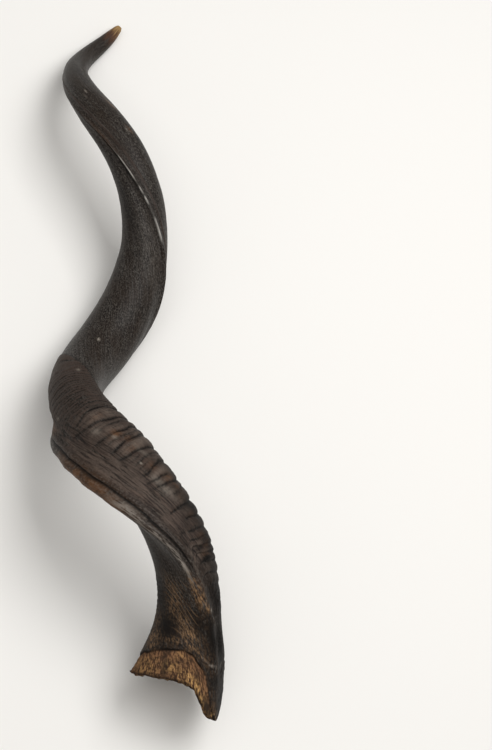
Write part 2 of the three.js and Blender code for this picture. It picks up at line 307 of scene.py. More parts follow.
def keelShape(rise, arc, fromKeel):
    # returns how far the keel stands out, and how dark the skin is drawn there from 0 to 1: dirt deep in its
    # crease, and painted shade in the gutter beside the upper turn's bead
    k = keelLook
    crest, furrow = through(sections, "crest", rise), through(sections, "furrow", rise)
    behind = np.maximum(arc, 0)
    along, sharp = within(rise, k["creaseRise"]), within(rise, k["sharpRise"])
    plain = (1 - sharp) * hill(arc, 0, np.where((arc > 0) | (furrow < 0), crest, crest * k["foreBroad"]))
    sharpFore, sharpAft = hill(arc, 0, k["sharpFore"] * crest), np.exp(-behind / (k["sharpAft"] * crest))
    plain = plain + sharp * np.where(arc < 0, sharpFore, sharpAft)
    # on the ribbed turn the keel is a bar with a crease behind it, past which the skin slopes to the ribs
    rows = np.array(k["creaseAt"])
    at = np.interp(rise, rows[:, 0], rows[:, 1]) + noise("creaseWander", rise, 0 * rise)
    past = ramp(arc, at - k["creaseEdge"], at + k["creaseEdge"])
    bar = np.exp(-((behind / (k["barBroad"] * crest)) ** k["barSquare"]))
    slope = np.exp(-((behind / (k["slopeBroad"] * crest)) ** k["slopeSquare"]))
    over = k["overlap"] * hill(behind, at + k["overlapBack"], k["overlapHalf"])
    barred = (1 - past) * bar + past * (slope + over)
    top = plain + along * (arc > 0) * (barred - plain)
    chipped = k["unchipped"] - noise("keelWaves", rise, fromKeel) - noise("keelChips", rise, fromKeel)
    above = np.maximum(0, furrow) * hill(arc, k["furrowBack"] * crest, k["furrowBroad"] * crest) * (1 - along)
    below = np.maximum(0, -furrow) * hill(arc, -k["hollowFore"] * crest, k["hollowBroad"] * crest)
    crease = along * hill(arc, at, k["creaseHalf"])
    gutter = within(rise, k["gutterRise"]) * hill(arc, -k["gutterFore"], k["gutterHalf"])
    flakes = noise("flakes", rise, fromKeel) + noise("flakesBroad", rise, fromKeel)
    flakes = flakes * within(rise, k["flakeRise"]) * hill(arc, 0, k["flakeHalf"])
    top = top * chipped - k["furrowDeep"] * above - k["hollowDeep"] * below
    height = through(sections, "keel", rise) * top
    height = height + k["beadHigh"] * sharp * hill(arc, -k["beadFore"], k["beadHalf"])
    height = height - k["creaseDeep"] * crease - k["gutterDeep"] * gutter + k["flakeDeep"] * flakes
    return height, np.clip(np.maximum(k["creaseDirt"] * crease, k["gutterShade"] * gutter), 0, 1)


def faceHollow(rise, fromKeel):
    # where the ribs end, the face towards the coil axis is hollowed
    middle = sheath["faceAt"] + sheath["faceTurn"] * (rise - sheath["faceRise"])
    across = hill(wrapped(fromKeel - middle), 0, sheath["faceBreadth"])
    return -sheath["faceHollow"] * hill(rise, sheath["faceRise"], sheath["faceHalf"]) * across


def ribRelief(rise, fromKeel):
    # returns how far the skin is pushed in or out, how deep in a groove it is, and how near one, from 0 to 1
    k, round360 = ribs, fromKeel % 360
    wander = noise("grooveWander", rise, fromKeel) + noise("grooveWaver", rise, fromKeel)
    uneven = patchy("groovePatches", rise, fromKeel)
    push, dirt, near = 0, 0, 0
    for at, first, final, deep, ahead in grooves:
        hook = k["hookDown"] * (at < k["hookTo"]) * ramp(at, *k["hookRise"])
        hook = hook * ramp(round360, *k["hookRound"])
        middle = at + ahead * np.clip((k["aheadRound"] - round360) / k["aheadOver"], -1, 1) - hook + wander
        ends = within(round360, np.array([first, first, final, final]) + k["grooveEnds"])
        lowLoss = k["lowLoss"] * ramp(round360, *k["lowRound"]) * (1 - ramp(at, *k["lowRise"]))
        ends = ends * (1 - lowLoss)
        away = rise - middle
        narrow = hill(away, 0, k["grooveHalf"])
        cut = k["grooveShare"] * uneven * narrow + k["rollShare"] * hill(away, -k["rollBack"], k["rollHalf"])
        push = push - deep * cut * ends
        dirt = np.maximum(dirt, k["grooveDirt"] * narrow * ends * uneven * min(1, deep / k["dirtyFrom"]))
        nearThis = hill(away, -k["nearBack"], k["nearHalf"]) * ends * min(1, deep / k["nearFrom"])
        near = np.maximum(near, nearThis)
    return push, dirt, near


def foldRelief(rise, fromKeel, skin):
    # faint lines on the ribs, finer folds towards the arch, and threads along the horn
    k, round360 = folds, fromKeel % 360
    onRibs = skin * within(rise, ribs["lineRise"]) * ramp(round360, *ribs["lineRound"])
    phase = (rise + noise("lineWander", rise, fromKeel)) / ribs["linePitch"]
    shows = ramp(noise("lineBreaks", rise, fromKeel), *ribs["lineShows"])
    line = onRibs * hill((phase % 1) - 0.5, 0, ribs["lineHalf"]) * shows
    onFolds = skin * ramp(rise, *k["rise"]) * ramp(round360, *k["round"])
    bent = rise + k["bend"] * (archReach(rise) - k["bendFrom"])
    phase = bent / k["pitch"] + noise("foldWander", rise, fromKeel)
    fold = (1 - np.abs(np.sin(np.pi * phase))) * (k["mean"] + noise("foldDepth", rise, fromKeel))
    dirt = np.maximum(ribs["lineDirt"] * line, k["dirt"] * onFolds * np.clip(fold, 0, 1) ** 3)
    thread = skin * hill(noise("threads", rise, fromKeel), 0, k["threadHalf"])
    thread = thread * (k["threadMean"] + noise("threadDepth", rise, fromKeel))
    thread = thread * (1 - k["foldsHide"] * onFolds) * (1 - ramp(rise, *k["threadRise"]))
    thread = thread * (1 - k["ribsHide"] * ramp(round360, *k["ribsRound"]))
    push = -ribs["lineDeep"] * line - k["deep"] * onFolds * fold - k["threadDeep"] * thread
    return push, np.maximum(dirt, k["threadDirt"] * thread)


def crackRelief(rise, fromKeel):
    # drying cracks between the crease and the ribs, broken up crosswise like bark
    beside = within(fromKeel % 360, cracks["round"]) * within(rise, cracks["rise"])
    crack = hill(noise("cracks", rise, fromKeel), 0, cracks["half"])
    crack = crack * ramp(noise("crackBreaks", rise, fromKeel), *cracks["shows"])
    cross = hill(noise("crossCracks", rise, fromKeel), 0, cracks["crossHalf"])
    cross = cross * ramp(noise("crossBreaks", rise, fromKeel), *cracks["crossShows"])
    crack = beside * np.maximum(crack, cracks["crossShare"] * cross)
    return -cracks["deep"] * crack, cracks["dirt"] * crack


def growthWave(rise, fromKeel):
    # nested growth lines round the base, uneven as the horn's seasons were: the wave, and how strong it is
    lines = 1 - growth["outerLoss"] * within(fromKeel % 360, growth["outerRound"])
    lines = lines * (1 - ramp(rise, *growth["ends"]))
    phase = growthRise(rise, fromKeel) / growth["pitch"] + noise("growthWander", rise, fromKeel)
    second = np.sin(2 * np.pi * growth["secondRate"] * phase + growth["secondShift"])
    wave = np.sin(2 * np.pi * phase) + growth["second"] * second
    return wave, lines * patchy("growthPatches", rise, fromKeel)


def growthRelief(rise, fromKeel):
    wave, strength = growthWave(rise, fromKeel)
    return growth["deep"] * strength * wave, growth["dirt"] * strength * ramp(-wave, *growth["dirtyFrom"])


# Single lines near the rim: where the skin ended on the live animal, and one pale growth line above it.
rimLines = {   # degrees from the keel, rise
    "skinEnd": [(-180, 30), (-146, 33), (-108, 41), (-82, 44), (-54, 48), (-39, 50), (-27, 45), (-20, 42),
                (-15, 28), (-11, 21), (-4, 12), (4, 6)],
    "paleGrowth": [(-24, 58), (-18, 54), (3, 50), (21, 45), (40, 44)],
}


def rimLine(name, rise, fromKeel):
    rows = np.array(rimLines[name], float)
    return rise - np.interp(fromKeel, rows[:, 0], rows[:, 1]) - noise("rimLineWander", rise, fromKeel)


def outsideRelief(rise, fromKeel):
    # returns how far the skin is pushed in or out, and how dirty it is
    round360 = fromKeel % 360
    skin = ribbedSkin(rise, round360) * ramp(rise, *ribs["skinRise"])
    # swollen rolls between the grooves, and the edge where the ribbed skin stops
    push = skin * (ribs["archStep"] + noise("skinRolls", rise, fromKeel)) + marks(swells, rise, fromKeel)
    edge = hill((archReach(rise) - round360) * mmPerDegree, *ribs["archDirtMm"])
    dirt = ribs["archDirt"] * edge * within(rise, ribs["archDirtRise"])
    parts = [ribRelief(rise, fromKeel)[:2], foldRelief(rise, fromKeel, skin), crackRelief(rise, fromKeel),
             growthRelief(rise, fromKeel)]
    for pushed, dirty in parts:
        push = push + pushed
        dirt = np.maximum(dirt, dirty)
    # the step down to the bare strip at the rim
    away = rimLine("skinEnd", rise, fromKeel)
    front = 1 - ramp(fromKeel, *rim["stepRound"])
    push = push + front * rim["stepUp"] * within(away, rim["stepSpan"])
    push = push - front * rim["stepCut"] * hill(away, rim["cutAt"], rim["cutHalf"])
    stepDirt = front * hill(away, rim["stepDirtAt"], rim["stepDirtHalf"])
    dirt = np.maximum(dirt, patchy("stepPatches", rise, fromKeel) * stepDirt)
    # slow unevenness, pores everywhere, and a scraped, dark, ragged edge at the rim
    for name in ("slowSwell", "swell", "pores"):
        push = push + noise(name, rise, fromKeel)
    nearRim = 1 - ramp(rise, *rim["roughRise"])
    for name in ("rimScrapes", "rimChips"):
        push = push + nearRim * noise(name, rise, fromKeel)
    edgeMm = rise - sheath["rimRise"] - rim["edgeMm"] - noise("rimDirt", rise, fromKeel)
    unworn = 1 - marks(rim["worn"], rise, fromKeel)
    dirt = np.maximum(dirt, rim["edgeDirt"] * (1 - ramp(edgeMm, *rim["edgeDirtMm"])) * unworn)
    return push * (1 - ramp(rise, *sheath["tipSmooth"])), np.clip(dirt, 0, 1)


def rimSlide(rise, fromKeel):
    # the broken rim only ever loses horn, so it slides towards the tip, in steps where a layer broke off
    broad = rim["layers"] * (0.5 + noise("raggedBroad", 0 * rise, fromKeel))
    fine = 0.5 + noise("raggedFine", 0 * rise, fromKeel)
    stepped = (np.floor(broad) + ramp(broad % 1, *rim["layerEdge"])) / rim["layers"]
    lost = rim["layerShare"] * stepped + rim["fineShare"] * fine
    return rim["ragged"] * lost * np.exp(-(rise - sheath["rimRise"]) / rim["raggedFades"])


def ringRises():
    rises = [np.linspace(low, high, count, endpoint=False) for low, high, count in sheath["ringStretches"]]
    toTip = 1 - (1 - np.linspace(0, 1, sheath["tipRings"])) ** sheath["tipCrowding"]
    return np.concatenate(rises + [sheath["tipFrom"] + sheath["tipLong"] * toTip])


def outsideSkin(around):
    rise, fromKeel = np.meshgrid(ringRises(), around, indexing="ij")
    deep, wide = through(sections, "deep", rise) / 2, through(sections, "wide", rise) / 2
    a = np.radians(fromKeel)
    oval = deep * wide / np.hypot(wide * np.cos(a), deep * np.sin(a))
    push, dirt = outsideRelief(rise, fromKeel)
    keel, crease = keelShape(rise, a * oval, fromKeel)
    inward = sheath["skinIn"] * (1 - ramp(rise, *sheath["tipSmooth"]))
    radius = oval + keel + faceHollow(rise, fromKeel) + push - inward
    return placed(rise, fromKeel, radius, rimSlide(rise, fromKeel)), rise, fromKeel, np.maximum(dirt, crease)


def insideSkin(around):
    k = sheath
    stretches = [np.arange(*stretch) for stretch in k["innerStretches"]]
    rises = np.concatenate([k["innerLip"], *stretches, k["innerEnd"]])
    rise, fromKeel = np.meshgrid(rises, around, indexing="ij")
    depth = (rise - k["rimRise"]) / (k["hollowTo"] - k["rimRise"])
    thicker = (k["wallInside"] - k["wallAtRim"]) * np.minimum(1, depth * k["wallGrows"])
    full = through(sections, "wide", rise) / 2 - k["wallAtRim"] - thicker
    fibres = noise("innerFibres", rise, fromKeel) * (1 - ramp(rise, *k["innerFades"]))
    slide = rimSlide(rise, fromKeel) * k["innerRagged"]
    return placed(rise, fromKeel, full * np.sqrt(1 - depth ** 2) + fibres, slide), rise, fromKeel


def buildSheath():
    # the mesh: down the inside, over the rim and up the outside to the tip
    count = sheath["columns"]
    t = 2 * np.arange(count) / count - 1
    around = np.sign(t) * 180 * np.abs(t) ** sheath["columnCrowding"]
    outside, rise, fromKeel, dirt = outsideSkin(around)
    inside, inRise, inKeel = insideSkin(around)

    # the lip itself is rough: one ring between the two skins, sunk or left standing
    rough = sheath["lipSunk"] + noise("lipRough", 0 * around, around)
    lip = (inside[0] + outside[0]) / 2 - frameAt(rise[0])[0] * rough[:, None]
    grid = np.concatenate([inside[::-1], lip[None], outside])
    gridRise = np.concatenate([inRise[::-1], rise[:1], rise])
    gridDirt = np.concatenate([np.zeros_like(inRise), np.full_like(rise[:1], sheath["lipDirt"]), dirt])
    gridKeel = np.concatenate([inKeel, fromKeel[:1], fromKeel])
    isInside = np.arange(len(grid))[:, None] < len(inside)

    rows = len(grid)
    points = np.concatenate([grid.reshape(-1, 3), spineAt(np.array([sheath["hollowTo"], sheath["tipPoint"]]))])
    index = np.arange(rows * count).reshape(rows, count)
    nextOne = np.roll(index, -1, axis=1)
    quads = np.stack([index[:-1], nextOne[:-1], nextOne[1:], index[1:]], -1).reshape(-1, 4)
    cavityEnd, tip = rows * count, rows * count + 1
    faces = [tuple(f) for f in quads.tolist()]
    faces += [(cavityEnd, nextOne[0, i], index[0, i]) for i in range(count)]
    faces += [(index[-1, i], nextOne[-1, i], tip) for i in range(count)]
    fields = {
        "riseMm": np.append(gridRise.ravel(), [sheath["hollowTo"], sheath["tipRise"]]),
        "fromKeel": np.append(gridKeel.ravel(), [0, 0]),
        "dirt": np.append(gridDirt.ravel(), [0, 0]),
    }
    return points, faces, fields, np.append(np.repeat(isInside, count), [True, False])


def restFrame(points):
    # from the coil axis to where the horn lies, in metres
    roll, pitch = math.radians(sheath["restRoll"]), math.radians(sheath["restPitch"])
    aboutY = np.array([[math.cos(roll), 0, math.sin(roll)], [0, 1, 0], [-math.sin(roll), 0, math.cos(roll)]])
    aboutX = np.array([[1, 0, 0], [0, math.cos(pitch), -math.sin(pitch)],
                       [0, math.sin(pitch), math.cos(pitch)]])
    turn = aboutX @ aboutY
    return (points @ turn.T + np.array(sheath["restShift"])) / 1000, turn


# Worn and stained places, with painted highlights and painted shade among them: rise, degrees from the keel,
# half length and half breadth in millimetres, strength.
skinMarks = {
    "warm": [
        (262, -2, 46, 8, 0.9), (222, -6, 16, 6, 0.7), (118, -3, 12, 6, 0.15), (125, 4, 8, 5, 0.25),
        (272, 92, 4, 8, 0.7), (262, 100, 3, 9, 0.4), (232, 84, 5, 8, 0.35), (216, 92, 4, 8, 0.45),
        (196, 84, 5, 8, 0.4), (206, 96, 5, 7, 0.4), (151, 66, 3, 10, 0.6), (144, 50, 3, 9, 0.5),
        (764, 97, 10, 3, 0.5), (727, 76, 5, 3, 0.4), (340, 20, 14, 8, 0.35), (160, 60, 3, 7, 0.4),
        (180, 78, 3, 9, 0.35), (253, 84, 3, 10, 0.35), (296, 96, 3, 9, 0.25), (738, -6, 30, 5, 0.3),
    ],
    "gold": [
        (68, -39, 15, 9, 0.9), (84, -46, 12, 6, 0.6), (56, -110, 12, 10, 0.75), (57, -66, 4, 12, 0.4),
        (16, -42, 12, 13, 0.95), (19, -46, 9, 7, 0.8), (12, -28, 9, 8, 0.8), (18, -4, 5, 4, 0.3),
        (10, -2, 5, 6, 1.0), (96, -60, 14, 9, 0.3), (112, -52, 20, 6, 0.35), (22, -112, 12, 18, 0.45),
        (56, -24, 4, 6, 0.6), (116, -5, 10, 5, 1.0), (128, -5, 7, 3, 0.8), (26, -71, 8, 10, 0.5),
        (104, 2, 6, 3, 0.8), (40, -56, 6, 7, 0.35), (78, -108, 12, 8, 0.4),
    ],
    # the pale strip along the lower keel's flange is partly wear, partly a painted highlight where its edge
    # catches the light
    "pale": [
        (214, 3, 16, 3.0, 0.5), (196, 1, 12, 2.2, 0.6), (180, 0, 12, 1.9, 0.7), (163, -2, 14, 1.9, 0.8),
        (146, -4, 12, 2.1, 0.9), (132, -6, 6, 1.9, 0.5), (106, -1, 3, 2, 0.5), (590, -34, 45, 14, 0.12),
    ],
    "fleck": [
        (99, 10, 1.3, 1.1, 1.0), (90, 13, 1.1, 0.8, 0.6), (84, 15, 0.9, 0.8, 0.4), (444, 207, 1.6, 1.5, 1.0),
        (512, 230, 1.4, 1.3, 0.6), (787, 48, 1.6, 1.5, 0.9), (793, 62, 1.5, 1.4, 0.7), (768, 100, 7, 1.6, 0.3),
        (727, 66, 1.6, 1.5, 0.5), (270, 84, 2.6, 2.6, 0.45), (238, 72, 1.3, 1.3, 0.75), (246, 96, 6, 3, 0.2),
        (219, 66, 5, 5, 0.25), (208, 64, 7, 6, 0.25), (372, 150, 2, 2, 0.4), (331, 48, 2, 2, 0.4),
        (284, 72, 4, 5, 0.25),
    ],
    # painted highlight on the crests of the last ribs
    "ridge": [
        (152, 18, 4, 3, 0.7), (155, 27, 2.4, 5, 0.8), (155, 42, 1.8, 9, 0.8), (151, 62, 1.8, 10, 0.6),
        (138, 12, 6, 2.2, 0.7), (144, 20, 3.4, 3, 0.8), (147, 32, 2.2, 6, 0.9), (146, 52, 1.8, 12, 0.8),
        (131, 34, 3, 6, 0.5),
    ],
    "bend": [(852, 100, 26, 26, 1.0)],
    # dark stains, partly painted shade where the skin turns away from the light: the base's far side and the
    # last ribs
    "dark": [
        (14, -15, 7, 7, 0.9), (27, -80, 22, 4, 0.7), (10, -74, 4, 26, 0.4), (34, -58, 6, 9, 0.4),
        (30, -34, 14, 4, 0.35), (72, -80, 22, 18, 0.85), (110, -100, 34, 30, 0.75), (98, -50, 16, 22, 0.4),
        (54, -70, 4, 40, 0.5), (45, -80, 3, 10, 0.8), (139.5, 46, 3.6, 14, 1.0), (150.5, 44, 2.2, 14, 0.8),
        (133, 24, 5, 4, 0.6), (128, 52, 13, 18, 0.6), (176, 56, 14, 14, 0.45), (20, 20, 30, 16, 0.85),
        (60, 22, 34, 14, 0.9), (100, 45, 30, 26, 0.85), (146, 80, 32, 26, 0.8), (38, 4, 8, 12, 0.8),
        (76, 2, 24, 10, 0.9), (88, -20, 14, 8, 0.7), (183, 90, 30, 22, 0.8), (215, 118, 40, 18, 0.6),
        (150, -60, 30, 20, 0.5), (640, -60, 60, 18, 0.5), (560, 150, 80, 30, 0.3),
    ],
}
wear = {   # spans are where something starts, is full, fades and is gone
    "bareEdge": (-1.0, 1.5), "bareRound": (-2, 8),
    "bareBack": 0.55, "backRound": (60, 110), "backRise": (30, 40),
    "lineHalf": 1.2, "lineRound": (-26, -16, 24, 40), "lineShare": 0.85,
    "paintedHighlightRise": (590, 620, 685, 730), "paintedHighlightMm": 0.45, "paintedHighlightHalf": 0.55,   # mm per degree there
    "crestRound": (44, 76, 118, 165), "crestRise": (112, 125, 292, 315),
    "crestLow": 0.35, "crestFull": (170, 200),
    "besideRound": (10, 24, 40, 66), "besideRise": (150, 200, 270, 320), "besideShare": 0.5,
    "growthShare": 0.8, "growthTops": (0.6, 1.5), "growthRound": (-8, 6),
    "ribbedRise": (105, 150), "foldsLose": 0.85, "outerLoses": 0.55, "outerRound": (50, 72),
    "arcRound": (-78, -50, -24, -12), "arcRise": (56, 68, 118, 140),
}


def skinFields(rise, fromKeel):
    # one value from 0 to 1 for each thing that the material lays on the horn
    w, round360 = wear, fromKeel % 360
    fields = {name: marks(rows, rise, fromKeel) for name, rows in skinMarks.items()}
    ridge = fields.pop("ridge")
    growthLine = w["lineShare"] * hill(rimLine("paleGrowth", rise, fromKeel), 0, w["lineHalf"])
    growthLine = growthLine * within(fromKeel, w["lineRound"]) * patchy("palePatches", rise, fromKeel)
    fields["pale"] = np.maximum(fields["pale"], growthLine)
    # painted highlight: a thin near-white line along the keel of the upper turn, where its edge catches the
    # light
    rubbed = hill(fromKeel * w["paintedHighlightMm"], -keelLook["beadFore"], w["paintedHighlightHalf"])
    fields["rubbed"] = rubbed * within(rise, w["paintedHighlightRise"]) * patchy("paintedHighlightPatches", rise, fromKeel)
    front, end = 1 - ramp(fromKeel, *w["bareRound"]), rimLine("skinEnd", rise, fromKeel)
    back = w["bareBack"] * ramp(fromKeel, *w["backRound"]) * (1 - ramp(rise, *w["backRise"]))
    fields["bare"] = np.clip((1 - ramp(end, *w["bareEdge"])) * front + back, 0, 1)
    # the rib crests, the skin beside the crease and the tops of the growth ridges are drawn lighter: partly
    # wear, partly painted highlight where they face the light
    crests = within(round360, w["crestRound"]) * within(rise, w["crestRise"])
    crests = crests * (1 - ribRelief(rise, fromKeel)[2])
    crests = crests * (w["crestLow"] + (1 - w["crestLow"]) * ramp(rise, *w["crestFull"]))
    crests = crests * patchy("crestPatches", rise, fromKeel)
    beside = w["besideShare"] * within(round360, w["besideRound"]) * within(rise, w["besideRise"])
    beside = beside * patchy("besidePatches", rise, fromKeel)
    # painted highlight on the tops of the growth ridges round the base
    wave, strength = growthWave(rise, fromKeel)
    tops = w["growthShare"] * strength * ramp(wave, *w["growthTops"]) * ramp(fromKeel, *w["growthRound"])
    fields["crest"] = np.maximum.reduce([crests, beside, tops, ridge])
    fields["ribbed"] = ribbedSkin(rise, round360) * ramp(rise, *w["ribbedRise"])
    onFolds = ramp(rise, *folds["rise"]) * ramp(round360, *folds["round"])
    outer = ramp(round360, *w["outerRound"])
    fields["straight"] = fields["ribbed"] * (1 - w["foldsLose"] * onFolds) * (1 - w["outerLoses"] * outer)
    fields["growth"] = growthRise(rise, fromKeel)
    arcs = within(fromKeel, w["arcRound"]) * within(rise, w["arcRise"])
    fields["arcs"] = arcs * patchy("arcPatches", rise, fromKeel)
    return fields


points, faces, fields, isInside = buildSheath()
placedPoints, restTurn = restFrame(points)
placedPoints[:, 2] = np.maximum(placedPoints[:, 2], 0)   # on the floor, where ridges would sink in 0.4 mm
sheathMesh = bpy.data.meshes.new("kuduHornSheath")
sheathMesh.from_pydata(placedPoints.tolist(), [], faces)
sheathMesh.validate()
looks = skinFields(fields["riseMm"], fields["fromKeel"])
for name, values in {**fields, **looks}.items():
    attribute = sheathMesh.attributes.new(name, "FLOAT", "POINT")
    attribute.data.foreach_set("value", values.astype(np.float32))
angle = np.radians(fields["fromKeel"])
grain = np.stack([evenRadius * np.cos(angle), evenRadius * np.sin(angle), fields["riseMm"]], -1)   # mm
attribute = sheathMesh.attributes.new("grain", "FLOAT_VECTOR", "POINT")
attribute.data.foreach_set("vector", grain.astype(np.float32).ravel())
sheathMesh.shade_smooth()
hornSheath = bpy.data.objects.new("hornSheath", sheathMesh)
bpy.context.scene.collection.objects.link(hornSheath)
triangles = sum(len(p.vertices) - 2 for p in sheathMesh.polygons)
print("horn sheath:", len(sheathMesh.vertices), "points,", triangles, "triangles")


def hexColour(text):
    # sRGB hex to linear
    values = [int(text[i:i + 2], 16) / 255 for i in (1, 3, 5)]
    return [v / 12.92 if v <= 0.04045 else ((v + 0.055) / 1.055) ** 2.4 for v in values] + [1]


def addNode(tree, kind, settings={}, links={}, out=0):
    # adds a shader node and returns one of its outputs
    node = tree.nodes.new("ShaderNode" + kind)
    for key, value in settings.items():
        if isinstance(key, str) and hasattr(node, key):
            setattr(node, key, value)
        else:
            node.inputs[key].default_value = value
    for key, socket in links.items():
        tree.links.new(socket, node.inputs[key])
    return node.outputs[out] if node.outputs else None


def newMaterial(name):
    material = bpy.data.materials.new(name)
    material.use_nodes = True
    material.node_tree.nodes.clear()
    return material, partial(addNode, material.node_tree)


# Weathered horn keratin: dense, dark brown-black protein, worn smooth above, which gives a satin grey sheen
# over the brown; on the ribs it is matt, with dirt in the grooves and worn brown crests.
# Some light is painted into its colour: glints among the grey specks, highlights on the crests and on the
# upper keel, and shade in dark patches and beside the upper keel's bead.
keratin = {
    "ior": 1.54, "specular": 0.1, "roughSmooth": 0.4, "roughRibbed": 0.58, "roughBare": 0.8,
    "roughGains": [("thread", 0.2), ("speck", -0.15), ("dirt", 0.2), ("baseLow", 0.2)],
    # patterns: width in millimetres, squeeze along the horn (1 is round), detail
    "patterns": {
        "blotch": (34, 0.5, 3), "thread": (1.7, 0.05, 3), "ribGrain": (1.8, 0.11, 3), "band": (6, 0.09, 2),
        "bendLine": (20, 9, 2),
        "speck": (1.3, 0.6, 2),        # real pores are 0.3 to 1 mm, drawn coarser so that they show
        "fibre": (2.0, 0.25, 3), "growthWarp": (34, 0.4, 2), "warmSpeck": (4, 0.5, 3),
        "paleSpeck": (1.6, 0.14, 3), "bareFibre": (1.6, 0.28, 3), "barePatch": (11, 0.25, 3),
        "crossFibre": (7, 3.0, 2), "tipSpeck": (4, 0.3, 3),
    },
    "patternRough": 0.6, "patternApart": 40,
    # how much of something shows: which value, from, to, share at from, share at to
    "shares": {
        "brownPatch": ("blotch", 0.35, 0.65, 0, 1), "speckArea": ("blotch", 0.36, 0.62, 1, 0.4),
        "greyThread": ("thread", 0.48, 0.7, 0, 0.7), "darkThread": ("thread", 0.28, 0.46, 0.6, 0),
        "lightSpeck": ("speck", 0.49, 0.68, 0, 0.8), "darkSpeck": ("speck", 0.32, 0.5, 0.85, 0),
        "speckled": ("speck", 0.3, 0.62, 0.6, 1), "brownBand": ("band", 0.5, 0.7, 0, 0.3),
        "ribDark": ("ribGrain", 0.36, 0.5, 0.7, 0), "ribLight": ("ribGrain", 0.52, 0.66, 0, 0.65),
        "smooth": ("ribbed", 0, 1, 1, 0), "bendDark": ("bendLine", 0.5, 0.62, 0, 0.7),
        "fibred": ("fibre", 0.42, 0.62, 0.05, 0.9), "baseLow": ("riseMm", 84, 160, 1, 0),
        "baseFront": ("fromKeel", 5, 30, 1, 0.25), "warmShow": ("warmSpeck", 0.36, 0.6, 0.35, 1),
        "paleShow": ("paleSpeck", 0.43, 0.57, 0.05, 1), "goldShow": ("bareFibre", 0.45, 0.6, 0.0, 1),
        "bareLight": ("bareFibre", 0.38, 0.6, 0.05, 1), "bareCell": ("cellEdge", 0, 1, 0, 0.6),
        "bareDark": ("barePatch", 0.48, 0.64, 0, 0.6), "bareCross": ("crossFibre", 0.5, 0.64, 0, 0.6),
        "clean": ("dirt", 0.0, 0.35, 1, 0), "grooveDirt": ("dirt", 0, 1, 0, 0.9),
        "darkShow": ("dark", 0, 1, 0, 1),
        "tipBrown": ("worn", 956, 974, 0, 1), "tipPale": ("worn", 970, 986, 0, 1),
    },
    "products": [
        ("ribTop", "ribbed", "clean"), ("ribTop", "ribTop", "speckled"), ("ribThread", "straight", "ribDark"),
        ("ribPale", "straight", "ribLight"), ("bendShow", "bend", "bendDark"),
        ("fleckSpot", "fleck", "speckled"), ("lightSpot", "lightSpeck", "speckArea"),
        ("baseBrown", "baseLow", "baseFront"), ("baseFibre", "baseBrown", "fibred"),
        ("baseCell", "baseBrown", "cellEdge"),
        ("warmSpot", "warm", "warmShow"), ("paleSpot", "pale", "paleShow"), ("goldSpot", "gold", "goldShow"),
        ("smoothDark", "darkThread", "smooth"), ("crestSpot", "crest", "speckled"),
        ("growthLine", "growthTop", "arcs"),
    ],
    # colours laid over each other, each with how much of it shows
    "ground": "#211c19",
    "layers": [
        ("brownPatch", "#2b231d"), ("greyThread", "#484542"), ("smoothDark", "#13100e"),
        # the light grey specks are partly pale specks, partly painted glints
        ("brownBand", "#2e251f"), ("lightSpot", "#5e5a54"), ("darkSpeck", "#0f0c0b"), ("ribTop", "#3f342e"),
        # the light rib crests are partly wear, partly painted highlight
        ("crestSpot", "#665a51"), ("ribThread", "#1a1412"), ("ribPale", "#5a4c43"), ("bendShow", "#14110f"),
        # the near-black patches are dark stains, partly painted shade
        ("baseFibre", "#3d2e21"), ("warmSpot", "#6b4b33"), ("darkShow", "#0d0a08"), ("paleSpot", "#9d948a"),
        ("goldSpot", "#987654"), ("baseCell", "#120d0a"), ("growthLine", "#735b43"), ("fleckSpot", "#a39a8e"),
        # the near-white line on the upper keel is a painted highlight
        ("rubbed", "#d2cdc6"),
    ],
    "bareGround": "#463326",
    "bareLayers": [
        ("bareLight", "#7e5b42"), ("bareCross", "#3d2e22"), ("bareDark", "#33271e"), ("goldSpot", "#cda267"),
        # the dark patches on the bare strip are partly painted shade
        ("darkShow", "#322922"), ("bareCell", "#2b1f16"),
    ],
    # over both, dirt in the grooves and painted shade in the gutter beside the upper keel's bead, and the tip
    # worn through to clear, pale horn, brown where it starts
    "lastLayers": [("grooveDirt", "#080605"), ("tipBrown", "#54392a"), ("tipPale", "#a8885a")],
    # fine cells of the fibrous base, and its brown growth lines
    "cellMm": 2.3, "cellRandom": 0.9, "cellSquash": 0.8, "cellEdge": (0.4, 0.8), "cellShare": 0.75,
    "growthMm": 10, "growthWarpMm": 16.0, "growthCrest": 0.72, "growthShare": 0.75, "tipSpeckMm": 44.0,
    "speckBump": 0.5, "threadBump": 0.35, "fineDeep": 0.0005, "fibreBump": 0.9, "fibreDeep": 0.001,
}


def layered(add, value, colour, layers):
    # colours laid over one another, from the first to the last
    for share, tone in layers:
        look = {"data_type": "RGBA", 7: hexColour(tone)}
        colour = add("Mix", look, {0: value[share], 6: colour}, out=2)
    return colour


